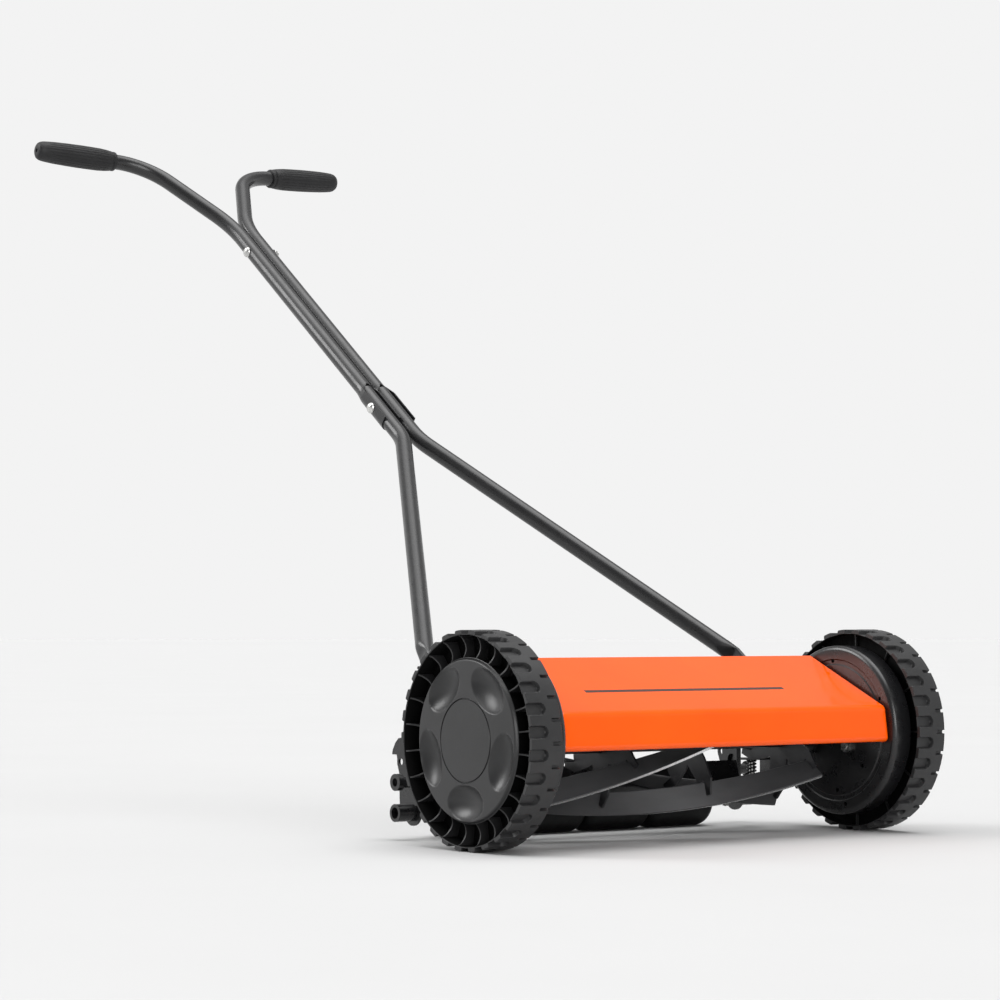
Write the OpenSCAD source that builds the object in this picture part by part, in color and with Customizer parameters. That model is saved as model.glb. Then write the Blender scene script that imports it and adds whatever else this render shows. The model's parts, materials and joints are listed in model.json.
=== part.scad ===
// Hand-pushed reel mower, modelled as its separate pieces.
// X runs across the machine (+X is the operator's left), -Y is forwards, Z is up from the ground.

/* [Wheels] */
// Outside diameter of a wheel
wheel_d = 248; // [240:2:256]
// Width of the tread
tread_w = 42; // [38:1:42]
// Across the outer faces of the two wheels
track_w = 632; // [632:1:636]
// Recesses around each edge of the tread
tread_lugs = 30; // [24:2:36]
// Ribs between the cap and the rim
wheel_ribs = 24; // [18:2:30]
// Diameter of the wheel cap
cap_d = 186; // [180:1:188]

/* [Side plates] */
// Distance between the inner faces of the side plates
frame_w = 502; // [502:1:503]
// Thickness of the pressed side plates
plate_t = 3; // [2.5:0.5:3]
// Diameter of the side plate drum
drum_d = 208; // [206:1:210]

/* [Reel] */
// Cutting diameter of the reel
reel_d = 162.4; // [160:0.4:162.4]
// Length of the blades across the machine
reel_w = 409; // [400:1:412]
// Turn of each blade from end to end, in degrees
blade_turn = 92.4; // [80:0.2:96]
// Thickness of a blade
blade_t = 3; // [2.5:0.5:3.5]

/* [Gears] */
// Teeth in the ring inside each wheel
ring_teeth = 60; // [60]
// Teeth on each reel pinion
pinion_teeth = 13; // [13]
// Gear module
gear_m = 2; // [2]

/* [Cover] */
// Thickness of the cover sheet
sheet_t = 1.5; // [1:0.5:2]

/* [Roller] */
// Diameter of the rear roller
roller_d = 65; // [60:1:66]
// Length of one roller section with its gap
roller_pitch = 102.6; // [100:0.2:108]
// Diameter of the socket in each roller boss
boss_bore_d = 13.6; // [13.6]

/* [Handle] */
// Outside diameter of the handle tubes
tube_d = 22; // [22]
// Wall of the handle tubes
tube_wall = 1.5; // [1.2:0.1:2]
// Slope of the handle above level
handle_slope = 37.37; // [37.37]
// Length of a grip
grip_l = 124; // [120:1:130]

/* [Hidden] */
$fn = 48;

// Colours
black_paint = [0.07, 0.07, 0.075];
dark_steel = [0.2, 0.2, 0.21];
zinc = [0.75, 0.75, 0.72];
orange_paint = [1, 0.35, 0.04];
wheel_grey = [0.16, 0.16, 0.165];
roller_black = [0.05, 0.05, 0.05];

// Gap between pieces that move past each other, and radial play of a running fit
gap = 0.3;
play = 0.06;

// Positions across the machine
plate_in = frame_w / 2;
plate_out = plate_in + plate_t;
bracket_t = 4;
bracket_in = plate_in - bracket_t;
drum_out = plate_in + 27;
wheel_out = track_w / 2;
wheel_in = wheel_out - tread_w;
wheel_r = wheel_d / 2;
rim_t = 5.5;
web_in = wheel_in + 16;
web_t = 3;
ribs_in = web_in - 5;
hub_in = plate_out + 8;
hub_out = wheel_out - 12;
gear_in = plate_out + 5;
pinion_w = 13;
drum_r = drum_d / 2;

// Axle and reel centres
axle = [0, wheel_r];
gear_step = gear_m * (ring_teeth - pinion_teeth) / 2;
reel_drop = 17.8;
reel_at = axle + gear_step * [cos(reel_drop), -sin(reel_drop)];
reel_r = reel_d / 2;
blade_in_r = 53;
blade_phase = 257;
blade_count = 5;
blade_lean = 5.4;
spider_x = [-reel_w / 2 + 5, -85, 52, reel_w / 2 - 5];

// Gear teeth
pressure = 25;
addendum = 0.8 * gear_m;
dedendum = 1.1 * gear_m;
backlash = 0.22;

// Rear of the chassis
pivot_at = [135.6, 183.3];
cutter_pivot = [132, 48];
knob_at = [188.3, 68.4];
roller_at = [188.3, roller_d / 2];
carriage_travel = 13;
neck_r = boss_bore_d / 2;
slot_r = neck_r + 0.4;
boss_out = plate_in + 28.5;
adjuster_at = [216, 115];
spring_low = 60;
tab_low = 84;
tab_t = 3;

// Handle path, along the sloping plane of the handle
handle_at = [203.9, 235.5];
tube_r = tube_d / 2;
tube_in_r = tube_r - tube_wall;
low_x = 235.5;
low_end = -62;
pivot_s = -86;
low_turn = 26;
low_bend_r = 80;
join_x = 12.65;
low_top = 552;
up_x = 11.2;
clasp_low = 478;
clasp_t = 1.5;
up_bend_s = 989.5;
up_turn = 24;
up_bend_r = 172;
end_turn = 61.8;
end_bend_r = 82;
up_run = 177.9;
bolt_s = [513, 917];
grip_r = 14.2;

// The grip's widest far edge is the back of the machine, and the origin is under the middle of it all
grip_inset = 3;
grip_far = [grip_r + 1.8, 96];
end_heading = up_turn + end_turn;
up_v2 = [up_x + up_run * sin(up_turn), up_bend_s + up_run * cos(up_turn)];
grip_from = up_v2 + (end_bend_r * tan(end_turn / 2) + grip_inset) * [sin(end_heading), cos(end_heading)];
grip_dir_y = cos(end_heading) * cos(handle_slope);
back_y = handle_at[0] + grip_from[1] * cos(handle_slope) + grip_far[1] * grip_dir_y
    + grip_far[0] * sqrt(1 - grip_dir_y * grip_dir_y);
mid_y = (back_y - wheel_r) / 2;

// ---------- placing ----------

module at_origin() translate([0, -mid_y, 0]) children();
module left() at_origin() children();
module right() at_origin() mirror([1, 0, 0]) children();
module both() { left() children(); right() children(); }

// A flat outline of (Y, Z) points made t thick towards +X from x
module slab(x, t) translate([x, 0, 0]) rotate([90, 0, 90]) linear_extrude(t) children();

// An outline of (radius, X) points turned about an axis along X through p
module turned(p) translate([0, p[0], p[1]]) rotate([0, 90, 0]) rotate_extrude() children();

module rod(p, x0, x1, r, fn = 48)
    translate([x0, p[0], p[1]]) rotate([0, 90, 0]) cylinder(r = r, h = x1 - x0, $fn = fn);

module hex_nut(p, x0, t, size, hole_r) difference() {
    rod(p, x0, x0 + t, size, 6);
    rod(p, x0 - 1, x0 + t + 1, hole_r);
}

function polar(r, a) = [r * cos(a), r * sin(a)];
function arc(c, r, a0, a1, n) = [for (i = [0:n]) c + polar(r, a0 + (a1 - a0) * i / n)];

// ---------- side plates ----------

module side_plate() color(black_paint) difference() {
    turned(axle) polygon(concat(
        [[8, plate_in], [80, plate_in], [81.5, plate_in + 1.2], [86, plate_in + 1.2], [87.5, plate_in]],
        arc([drum_r - 6, plate_in + 6], 6, -90, 0, 8),
        [[drum_r, drum_out], [drum_r - plate_t, drum_out]],
        arc([drum_r - 6, plate_in + 6], 3, 0, -90, 6),
        [[8, plate_out]]
    ));
    rod(reel_at, plate_in - 1, plate_out + 1, 13);
    for (p = concat(plate_holes, stud_bolts, bracket_bolts)) rod(p, plate_in - 1, plate_out + 1, p[2]);
    rod(tie_at, plate_in - 1, plate_out + 1, 5);
    for (p = cover_points) rod(p, plate_in - 1, plate_out + 1, 3);
}
// Holes of the pressed plate: position and radius
plate_holes = [for (q = [[85.3, 87, 2.6], [87.6, 152.8, 2.6], [63.4, 221.7, 2.9], [73.6, 267.4, 2.9],
    [92, 258.8, 2.6]]) [each axle + polar(q[0], q[1]), q[2]]];
stud_bolt_r = 30;
stud_bolts = [for (a = [41, 131, 221]) [each axle + polar(stud_bolt_r, a), 4]];
bracket_bolts = [[80, 160, 4], [80, 114, 4]];
tie_at = [24, 198];
tie_r = 6;
cover_points = [[-64, 150], [6, 186]];

// Flat steel bracket behind the drum: carries the handle, the cutter bar and the roller carriage
arm_low = 40;
module rear_bracket() color(black_paint) union() {
    difference() {
        union() {
            slab(bracket_in, bracket_t) difference() {
                union() {
                    translate([63, 99]) square([71, 70]);
                    translate([112, arm_low]) square([22, 183 - arm_low]);
                    translate([112, arm_low]) square([94, 18]);
                    translate([178, arm_low]) square([28, 96 - arm_low]);
                    translate(pivot_at) circle(15);
                    polygon([[112, 168], [112, 183], [145, 195], [168, 202.6], [175, 193.6], [134, 168]]);
                }
                translate([knob_at[0] - slot_r, arm_low - 1])
                    square([2 * slot_r, knob_at[1] + carriage_travel - arm_low + 1]);
                translate(knob_at + [0, carriage_travel]) circle(slot_r);
            }
            translate([adjuster_at[0] - 10, adjuster_at[1] - 10, tab_low])
                cube([plate_in - adjuster_at[0] + 10, 20, tab_t]);
            handle_stop();
        }
        rod(pivot_at, bracket_in - 1, plate_in + 1, 4);
        rod(cutter_pivot, bracket_in - 1, plate_in + 1, 5);
        for (p = bracket_bolts) rod(p, bracket_in - 1, plate_in + 1, 4);
        translate([adjuster_at[0], adjuster_at[1], tab_low - 1]) cylinder(r = 3, h = tab_t + 2);
    }
}

// Tab under the handle tube, square to the slope of the handle
module handle_stop() on_handle() translate([plate_in - 28, -50, -tube_r - gap - 3]) cube([28, 14, 3]);

// ---------- cover ----------

cover_top = [38.5, 215.4];
cover_bend = [-90.9, 155.3];
cover_foot = [-96.6, 113.4];
cover_bend_r = 9;
cover_gap = 0.2;

function unit(v) = v / norm(v);
function square_to(v) = [-v[1], v[0]];

module cover_outline() {
    slope = unit(cover_bend - cover_top);
    face = unit(cover_foot - cover_bend);
    half = acos(slope * face) / 2;
    run = cover_bend_r * tan(half);
    centre = cover_bend + slope * -run + square_to(slope) * cover_bend_r;
    a0 = atan2(slope[0], -slope[1]);
    a1 = atan2(face[0], -face[1]);
    lip = cover_foot + [5, -1.2];
    polygon(concat(
        [cover_top],
        arc(centre, cover_bend_r, 180 + a0, 180 + a1, 8),
        [cover_foot, lip, lip + [0, sheet_t],
         cover_foot + [sheet_t, sheet_t]],
        arc(centre, cover_bend_r - sheet_t, 180 + a1, 180 + a0, 8),
        [cover_top + square_to(slope) * sheet_t]
    ));
}

module cover_flange() polygon([cover_top + [-1, -2], cover_bend + [5, -1], cover_foot + [2.5, 2],
    cover_foot + [16, 4], cover_bend + [19, -6], cover_top + [-4, -17]]);

module front_cover() color(orange_paint) difference() {
    union() {
        slab(-plate_in + cover_gap, 2 * (plate_in - cover_gap)) cover_outline();
        for (x = [-plate_in + cover_gap, plate_in - cover_gap - sheet_t]) slab(x, sheet_t) cover_flange();
    }
    for (p = cover_points) rod(p, -plate_in - 1, plate_in + 1, 3);
    rod(tie_at, -plate_in - 1, plate_in + 1, tie_r + 1);
}

module cover_screws() color(zinc) for (p = cover_points) {
    rod(p, plate_in - 5, plate_out, 3);
    rod(p, plate_out, plate_out + 2.5, 5.5);
    hex_nut(p, plate_in - sheet_t - cover_gap - 3.5, 3.5, 5.5, 3);
}

// ---------- axle studs and chassis fasteners ----------

module axle_stud() color(zinc) difference() {
    union() {
        rod(axle, plate_in - 6, hub_out + 4, 8);
        rod(axle, plate_out, plate_out + 4, 25);
        for (p = stud_bolts) rod(p, plate_out, plate_out + 4, 8);
    }
    for (p = stud_bolts) rod(p, plate_out - 1, plate_out + 5, 4);
}

module plate_bolt(p, inner, head) {
    rod(p, inner - 7, head, 4);
    rod(p, head, head + 3, 6.5, 6);
    hex_nut(p, inner - 6, 6, 7, 4);
}

module side_plate_bolts() color(zinc) {
    for (p = stud_bolts) plate_bolt(p, plate_in, plate_out + 4);
    for (p = bracket_bolts) plate_bolt(p, bracket_in, plate_out);
}

module tie_rod() color(black_paint) union() {
    rod(tie_at, -plate_in, plate_in, tie_r);
    rod(tie_at, -plate_out - 7, plate_out + 7, 5);
}

module frame_nuts() color(zinc) {
    hex_nut(tie_at, plate_out, 6, 8.5, 5);
    hex_nut(pivot_at, bracket_in - 15, 6.5, 7.5, 4);
}

module reel_bearing() color(dark_steel) turned(reel_at)
    polygon([[7 + play, plate_in - 6], [15, plate_in - 6], [15, plate_in], [13, plate_in], [13, plate_out],
        [7 + play, plate_out]]);

module adjuster_screw() color(zinc) translate([adjuster_at[0], adjuster_at[1], 0]) {
    translate([0, 0, spring_low - 12]) cylinder(r = 3, h = tab_low + tab_t - spring_low + 12);
    translate([0, 0, tab_low + tab_t]) cylinder(r = 6, h = 4.5, $fn = 6);
    translate([0, 0, spring_low - 9.6]) difference() {
        cylinder(r = 6, h = 5, $fn = 6);
        translate([0, 0, -1]) cylinder(r = 3, h = 7);
    }
}

spring_turns = 5;
module adjuster_spring() color(dark_steel)
    translate([adjuster_at[0], adjuster_at[1], spring_low + gap])
        linear_extrude(tab_low - spring_low - gap, twist = -360 * spring_turns, slices = 14 * spring_turns, segments = 6)
            translate([5.4, 0]) circle(1.1, $fn = 6);

module cutter_pivot_screw() color(zinc) {
    rod(cutter_pivot, 212, plate_in, 5 - play);
    rod(cutter_pivot, plate_in, plate_in + 4, 8, 6);
    rod(cutter_pivot, 209, 212, 8);
}

module handle_pivot_bolt() color(zinc) {
    rod(pivot_at, bracket_in - 16, plate_in, 4);
    rod(pivot_at, plate_in, plate_in + 3.5, 8);
}

module wheel_clip() color(dark_steel) turned(axle)
    polygon([[8, hub_out + gap], [13, hub_out + gap], [13, hub_out + 2.3], [8, hub_out + 2.3]]);

// ---------- cutter bar ----------

bar_half = 218;
apron_half = 200;
bar_low = 33;
bar_t = 5;
knife_t = 3;
knife_front = 89;
knife_bolts_x = [-160, -80, 0, 80, 160];

module cutter_bar() color(black_paint) difference() {
    union() {
        slab(-bar_half, 2 * bar_half) union() {
            translate([knife_front + 1, bar_low]) square([31, bar_t]);
            translate([116, bar_low]) square([4, 24]);
        }
        slab(-apron_half, 2 * apron_half) polygon([[117.5, 55], [120, 55], [127.8, 83.5], [126, 84]]);
        for (side = [0, 1]) mirror([side, 0, 0]) {
            slab(bar_half - 4, 4) union() {
                translate([knife_front + 1, bar_low]) square([50, 16]);
                translate([104, bar_low]) square([16, 25]);
                translate(cutter_pivot) circle(9);
            }
            translate([206.5, 104, spring_low - 3]) cube([19.5, 22, 3]);
        }
    }
    for (x = knife_bolts_x) translate([x, 100, bar_low - 1]) cylinder(r = 2.5, h = bar_t + 2);
    for (side = [0, 1]) mirror([side, 0, 0]) {
        rod(cutter_pivot, bar_half - 6, bar_half + 1, 5);
        translate([adjuster_at[0], adjuster_at[1], spring_low - 4]) cylinder(r = 4.2, h = 5);
        translate([adjuster_at[0], adjuster_at[1], spring_low - 14]) cylinder(r = 7.5, h = 11);
    }
}

module bed_knife() color(dark_steel) difference() {
    slab(-reel_w / 2 - 2, reel_w + 4)
        translate([knife_front, bar_low + bar_t]) polygon([[0, knife_t], [0.8, 0], [23, 0], [23, knife_t]]);
    for (x = knife_bolts_x) translate([x, 100, bar_low]) cylinder(r = 2.5, h = 20);
}

module bed_knife_screws() color(zinc) for (x = knife_bolts_x) translate([x, 100, bar_low - 4]) {
    cylinder(r = 2.5, h = 4 + bar_t + knife_t);
    translate([0, 0, 4 + bar_t + knife_t]) cylinder(r = 4.5, h = 2);
    translate([0, 0, 0.5]) cylinder(r = 4.5, h = 3.5, $fn = 6);
}

// ---------- roller carriage ----------

hook_hole = [212.5, 91];
hook_hole_r = 4.3;
carriage_outline = [[178, 26], [213, 26], [214.8, 49], [214.8, 76], [219.7, 88], [219.7, 94], [220.9, 99.2],
    [230.5, 99.2], [229, 105], [224, 113], [217.7, 118.6], [213, 119.5], [204, 116], [196, 112], [178, 112]];

module roller_bracket() color(black_paint) difference() {
    union() {
        slab(plate_in + gap, plate_t) union() {
            polygon(carriage_outline);
            translate(roller_at) circle(16);
        }
        rod(roller_at, plate_in + gap, boss_out, 10.5);
    }
    rod(roller_at, plate_in - 1, axle_end, roller_axle_r);
    rod(roller_at, axle_end, boss_out + 1, neck_r);
    rod(knob_at, plate_in - 1, boss_out + 1, neck_r);
    rod(hook_hole, plate_in - 1, boss_out, hook_hole_r);
}

axle_end = plate_in + 11;
roller_axle_r = neck_r - 0.2;
module roller_axle() color(zinc) rod(roller_at, -axle_end, axle_end, roller_axle_r);

module height_knob() color(black_paint) difference() {
    union() {
        rod(knob_at, bracket_in - 10, boss_out - 6, neck_r);
        rod(knob_at, boss_out - 7.5, boss_out, 10);
    }
    rod(knob_at, boss_out - 4, boss_out + 1, 5);
}

module height_knob_nut() color(dark_steel) difference() {
    rod(knob_at, bracket_in - gap - 7, bracket_in - gap, 10, 6);
    rod(knob_at, bracket_in - 20, bracket_in + 1, neck_r);
}

roller_shift = -10.9;
roller_count = 4;
module roller_section(i) color(roller_black)
    translate([roller_shift + (i - 0.5 - roller_count / 2) * roller_pitch, 0, 0]) turned(roller_at) {
        half = roller_pitch / 2 - gap;
        hub_r = 11.5;
        wall = 4;
        round_r = 13;
        shell_r = roller_d / 2 - round_r;
        polygon(concat(
            [[roller_axle_r + play, -half], [hub_r, -half], [hub_r, half - wall], [shell_r, half - wall]],
            arc([shell_r, round_r - half], round_r, -90, 0, 4),
            arc([shell_r, half - round_r], round_r, 0, 90, 4),
            [[roller_axle_r + play, half]]
        ));
    }

// ---------- reel ----------

shaft_end = gear_in + pinion_w + 4;

module reel_shaft() color(dark_steel) difference() {
    union() {
        rod(reel_at, -plate_out - 2, plate_out + 2, 7);
        rod(reel_at, -shaft_end, shaft_end, 6);
    }
    for (side = [-1, 1]) translate([side * (gear_in + pinion_w / 2), reel_at[0], reel_at[1]])
        cube([8, 4, 14], center = true);
}

function phase_at(x) = blade_phase - blade_turn * x / reel_w;

// One arm of a spider, from its lower root round its tip to its upper root
spider_arm = [[24, -19.2], [30, -20], [52, -21], [70, -12], [68, -5.8], [50.5, -8.8], [51, -4], [50, 2], [34, 8],
    [22, 10.8]];

function turn(p, a) = [p[0] * cos(a) - p[1] * sin(a), p[0] * sin(a) + p[1] * cos(a)];

module reel_spider(i) color(dark_steel) translate([0, reel_at[0], reel_at[1]])
    slab(spider_x[i - 1] - 1.5, 3) rotate(phase_at(spider_x[i - 1])) difference() {
        polygon([for (k = [0:blade_count - 1], p = spider_arm) turn(p, k * 360 / blade_count)]);
        circle(7);
    }

module reel_blade(k) color(dark_steel) translate([-reel_w / 2, reel_at[0], reel_at[1]]) rotate([90, 0, 90])
    rotate(phase_at(-reel_w / 2) + (k - 1) * 360 / blade_count)
        linear_extrude(reel_w, twist = blade_turn, slices = 44, segments = 4) {
            lag = blade_t / reel_r * 180 / PI;
            polygon([polar(reel_r, 0), polar(reel_r, -lag), polar(blade_in_r, -blade_lean - lag * 1.5),
                polar(blade_in_r, -blade_lean)]);
        }

module pinion_key() color(zinc) translate([gear_in + pinion_w / 2, reel_at[0], reel_at[1]])
    cube([7.6, 3.6, 11], center = true);

module pinion_clip() color(dark_steel) turned(reel_at)
    polygon([[6, shaft_end - 3], [10, shaft_end - 3], [10, shaft_end - 1.5], [6, shaft_end - 1.5]]);

// ---------- gears ----------

function inv(a) = tan(a) * 180 / PI - a;

// Half the angle that a tooth fills at radius r, for n teeth and the half angle at the pitch circle
function flank(n, r, at_pitch) =
    let (base = gear_m * n / 2 * cos(pressure), a = r > base ? acos(base / r) : 0)
    at_pitch + inv(pressure) - inv(a);

function tooth(n, r0, r1, at_pitch, steps = 5) = concat(
    [for (i = [0:steps]) let (r = r0 + (r1 - r0) * i / steps) polar(r, -flank(n, r, at_pitch))],
    [for (i = [steps:-1:0]) let (r = r0 + (r1 - r0) * i / steps) polar(r, flank(n, r, at_pitch))]);

module pinion() color(dark_steel) translate([0, reel_at[0], reel_at[1]]) slab(gear_in, pinion_w)
    rotate(-reel_drop) difference() {
        pitch_r = gear_m * pinion_teeth / 2;
        at_pitch = 90 / pinion_teeth - backlash / pitch_r * 90 / PI;
        union() {
            circle(pitch_r - dedendum + 0.15);
            for (i = [0:pinion_teeth - 1]) rotate(i * 360 / pinion_teeth)
                polygon(concat([[0, 0]], tooth(pinion_teeth, pitch_r - dedendum, pitch_r + addendum, at_pitch)));
        }
        circle(6 + play);
        for (a = [0, 90, 180, 270]) rotate(a) translate([5, -2.2]) square([2.8, 4.4]);
    }

module ring_gear() slab(gear_in, web_in - gear_in + 1) rotate(-reel_drop) difference() {
    pitch_r = gear_m * ring_teeth / 2;
    at_pitch = 90 / ring_teeth;
    circle(pitch_r + dedendum + 5.3, $fn = 120);
    circle(pitch_r - addendum, $fn = 120);
    for (i = [0:ring_teeth - 1]) rotate(i * 360 / ring_teeth)
        polygon(tooth(ring_teeth, pitch_r - addendum - 0.5, pitch_r + dedendum, at_pitch));
}

// ---------- wheels ----------

bush_r = 11;
module wheel() color(wheel_grey) translate([0, axle[0], axle[1]]) difference() {
    union() {
        turned([0, 0]) {
            translate([wheel_r - rim_t, wheel_in]) square([rim_t, tread_w]);
            translate([16, web_in]) square([wheel_r - rim_t - 15.5, web_t]);
            translate([bush_r, hub_in]) square([6, hub_out - hub_in]);
            translate([cap_d / 2 - 5, web_in]) square([3, wheel_out - 5 - web_in]);
        }
        ring_gear();
        for (i = [0:wheel_ribs - 1]) rotate([i * 360 / wheel_ribs, 0, 0])
            translate([0, -1, cap_d / 2 - 3]) rotate([90, 0, 90]) translate([0, 0, ribs_in])
                linear_extrude(wheel_out - 4 - ribs_in) square([2, wheel_r - rim_t - cap_d / 2 + 3.5]);
    }
    for (i = [0:tread_lugs - 1]) rotate([i * 360 / tread_lugs, 0, 0]) {
        lug_w = PI * wheel_d / tread_lugs / 2;
        translate([wheel_out - tread_w * 0.42, 0, wheel_r - 3.5]) {
            cylinder(r = lug_w / 2, h = 8, $fn = 24);
            translate([0, -lug_w / 2, 0]) cube([tread_w, lug_w, 8]);
        }
        rotate([180 / tread_lugs, 0, 0]) translate([wheel_in - 1, -1.6, wheel_r - 3.5]) cube([tread_w * 0.25, 3.2, 8]);
    }
    cap_seat();
}

// Room for the cap over the ends of the ribs
module cap_seat() turned([0, 0]) translate([cap_d / 2, wheel_out])
    polygon([[-6, -5], [-2, -5], [-2, -6.2], [gap, -6.2], [gap, 1], [-6, 1]]);

module wheel_bush() color(dark_steel) turned(axle)
    translate([8 + play, hub_in]) square([bush_r - 8 - play, hub_out - hub_in]);

module hub_cap() color(wheel_grey) difference() {
    turned(axle) {
        r = cap_d / 2;
        polygon([[0, wheel_out - 5], [0, wheel_out], [45, wheel_out - 0.5], [45.4, wheel_out - 2],
            [46.8, wheel_out - 2], [47.2, wheel_out - 0.5], [r - 3, wheel_out - 2], [r, wheel_out - 4.5],
            [r, wheel_out - 6], [r - 2, wheel_out - 6], [r - 2, wheel_out - 5]]);
    }
    for (k = [0:4]) translate([wheel_out + 57, 0, 0])
        translate([0, each axle]) rotate([k * 72 + 180, 0, 0]) translate([0, 0, 69.6]) sphere(60, $fn = 64);
}

// ---------- handle ----------

// Local frame on the handle: X across, Y up the slope, Z square to it
module on_handle() translate([0, each handle_at]) rotate([handle_slope, 0, 0]) children();

// Stations [x, y, heading] round a bend that starts at p with heading h and turns by a
function bend_stations(p, h, a, r, n) =
    let (side = sign(a), c = [p[0] + side * r * cos(h), p[1] - side * r * sin(h)])
    [for (i = [0:n]) let (k = h + a * i / n) [c[0] - side * r * cos(k), c[1] + side * r * sin(k), k]];

// Where a bend of this vertex, heading, turn and radius starts
function bend_start(v, h, a, r) = v - r * tan(abs(a) / 2) * [sin(h), cos(h)];

function ring_at(s, r) = [for (i = [0:tube_sides - 1]) let (t = 360 * i / tube_sides)
    [s[0] + r * cos(t) * cos(s[2]), s[1] - r * cos(t) * sin(s[2]), r * sin(t)]];

// A hollow tube through the stations
tube_sides = 18;
module swept_tube(stations) {
    n = len(stations);
    m = tube_sides;
    skins = [for (i = [0:n - 2], j = [0:m - 1], q = [0, 1])
        let (a = i * m + j, b = i * m + (j + 1) % m, o = q * n * m, c = [a + o, b + o, b + m + o, a + m + o])
        q == 0 ? c : [c[3], c[2], c[1], c[0]]];
    ends = [for (j = [0:m - 1], e = [0, n - 1])
        let (a = e * m + j, b = e * m + (j + 1) % m, o = n * m)
        e == 0 ? [b, a, a + o, b + o] : [a, b, b + o, a + o]];
    polyhedron(concat(
        [for (s = stations) each ring_at(s, tube_r)], [for (s = stations) each ring_at(s, tube_in_r)]
    ), concat(skins, ends), 4);
}

// Lower tube: up from the bracket, in across the machine, then straight up the handle
low_v1 = [low_x, (226.9 - low_x) / 0.488];
low_v2 = [join_x, low_v1[1] + (low_x - join_x) / tan(low_turn)];
low_stations = concat(
    [[low_x, low_end, 0]],
    bend_stations(bend_start(low_v1, 0, low_turn, low_bend_r), 0, -low_turn, low_bend_r, 5),
    bend_stations(bend_start(low_v2, -low_turn, low_turn, low_bend_r), -low_turn, low_turn, low_bend_r, 5),
    [[join_x, low_top, 0]]
);

module handle_lower() color(black_paint) on_handle() difference() {
    union() {
        swept_tube(low_stations);
        translate([bracket_in - 6.5, pivot_s, 0]) {
            translate([0, 0, -10]) cube([6, low_end - pivot_s + 12, 20]);
            rotate([0, 90, 0]) cylinder(r = 13, h = 6);
        }
    }
    translate([bracket_in - 10, pivot_s, 0]) rotate([0, 90, 0]) cylinder(r = 4 + play, h = 12);
    translate([-1, bolt_s[0], 0]) rotate([0, 90, 0]) cylinder(r = 4.1, h = 40);
}

// Upper tube: up beside its twin, a slow bend outwards, then round to the grip
tube_to = grip_from + (grip_l - 5) * [sin(end_heading), cos(end_heading)];
up_stations = concat(
    [[up_x, low_top, 0]],
    bend_stations(bend_start([up_x, up_bend_s], 0, up_turn, up_bend_r), 0, up_turn, up_bend_r, 5),
    bend_stations(bend_start(up_v2, up_turn, end_turn, end_bend_r), up_turn, end_turn, end_bend_r, 9),
    [[tube_to[0], tube_to[1], end_heading]]
);

// The lower end of the upper tube: a U round the top of the lower tube
module clasp() translate([join_x, clasp_low, 0]) rotate([-90, 0, 0]) linear_extrude(low_top - clasp_low)
    difference() {
        union() {
            circle(tube_r + clasp_t);
            translate([-tube_r - clasp_t, -9]) square([2 * (tube_r + clasp_t), 9]);
        }
        circle(tube_r);
        translate([-tube_r, -12]) square([2 * tube_r, 12]);
    }

module handle_upper() color(black_paint) on_handle() difference() {
    union() {
        clasp();
        swept_tube(up_stations);
    }
    for (s = bolt_s) translate([-2, s, 0]) rotate([0, 90, 0]) cylinder(r = 4.1, h = 40);
}

module grip() color(roller_black) on_handle() translate([grip_from[0], grip_from[1], 0])
    rotate([0, 0, -end_heading]) rotate([-90, 0, 0]) rotate_extrude() polygon([
        [tube_r, 0], [grip_r - 0.8, 0], [grip_r, 1], [grip_r, 4], [grip_r + 0.6, 6],
        [grip_r + 2.4, 25], [grip_r + 2.6, 58], grip_far, [grip_r, grip_l - 6],
        [grip_r - 3, grip_l - 1], [grip_r - 6, grip_l], [3, grip_l], [3, grip_l - 4.05],
        [tube_r, grip_l - 4.05]]);

bolt_half = [join_x + tube_r + clasp_t, up_x + tube_r];
module handle_bolts() color(zinc) for (i = [0, 1]) on_handle() translate([0, bolt_s[i], 0]) rotate([0, 90, 0]) {
    translate([0, 0, -bolt_half[i]]) cylinder(r = 4, h = 2 * bolt_half[i] + 8);
    translate([0, 0, -bolt_half[i] - 4]) cylinder(r = 7.5, h = 4);
}

module handle_nuts() color(zinc) for (i = [0, 1]) on_handle() translate([bolt_half[i], bolt_s[i], 0])
    rotate([0, 90, 0]) difference() {
        cylinder(r = 7.2, h = 6.5, $fn = 6);
        translate([0, 0, -1]) cylinder(r = 4, h = 9);
    }

left() side_plate();  // side_plate_left
right() side_plate();  // side_plate_right
left() rear_bracket();  // rear_bracket_left
right() rear_bracket();  // rear_bracket_right
at_origin() front_cover();
both() cover_screws();
left() axle_stud();  // axle_stud_left
right() axle_stud();  // axle_stud_right
both() side_plate_bolts();
at_origin() tie_rod();
both() frame_nuts();
both() reel_bearing();  // reel_bearings
both() adjuster_screw();  // adjuster_screws
both() adjuster_spring();  // adjuster_springs
both() cutter_pivot_screw();  // cutter_pivot_screws
both() handle_pivot_bolt();  // handle_pivot_bolts
both() wheel_clip();  // wheel_clips
at_origin() cutter_bar();
at_origin() bed_knife();
at_origin() bed_knife_screws();
left() roller_bracket();  // roller_bracket_left
right() roller_bracket();  // roller_bracket_right
at_origin() roller_axle();
left() height_knob();  // height_knob_left
right() height_knob();  // height_knob_right
both() height_knob_nut();  // height_knob_nuts
at_origin() roller_section(1);  // roller_section_1
at_origin() roller_section(2);  // roller_section_2
at_origin() roller_section(3);  // roller_section_3
at_origin() roller_section(4);  // roller_section_4
at_origin() reel_shaft();
at_origin() reel_spider(1);  // reel_spider_1
at_origin() reel_spider(2);  // reel_spider_2
at_origin() reel_spider(3);  // reel_spider_3
at_origin() reel_spider(4);  // reel_spider_4
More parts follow.
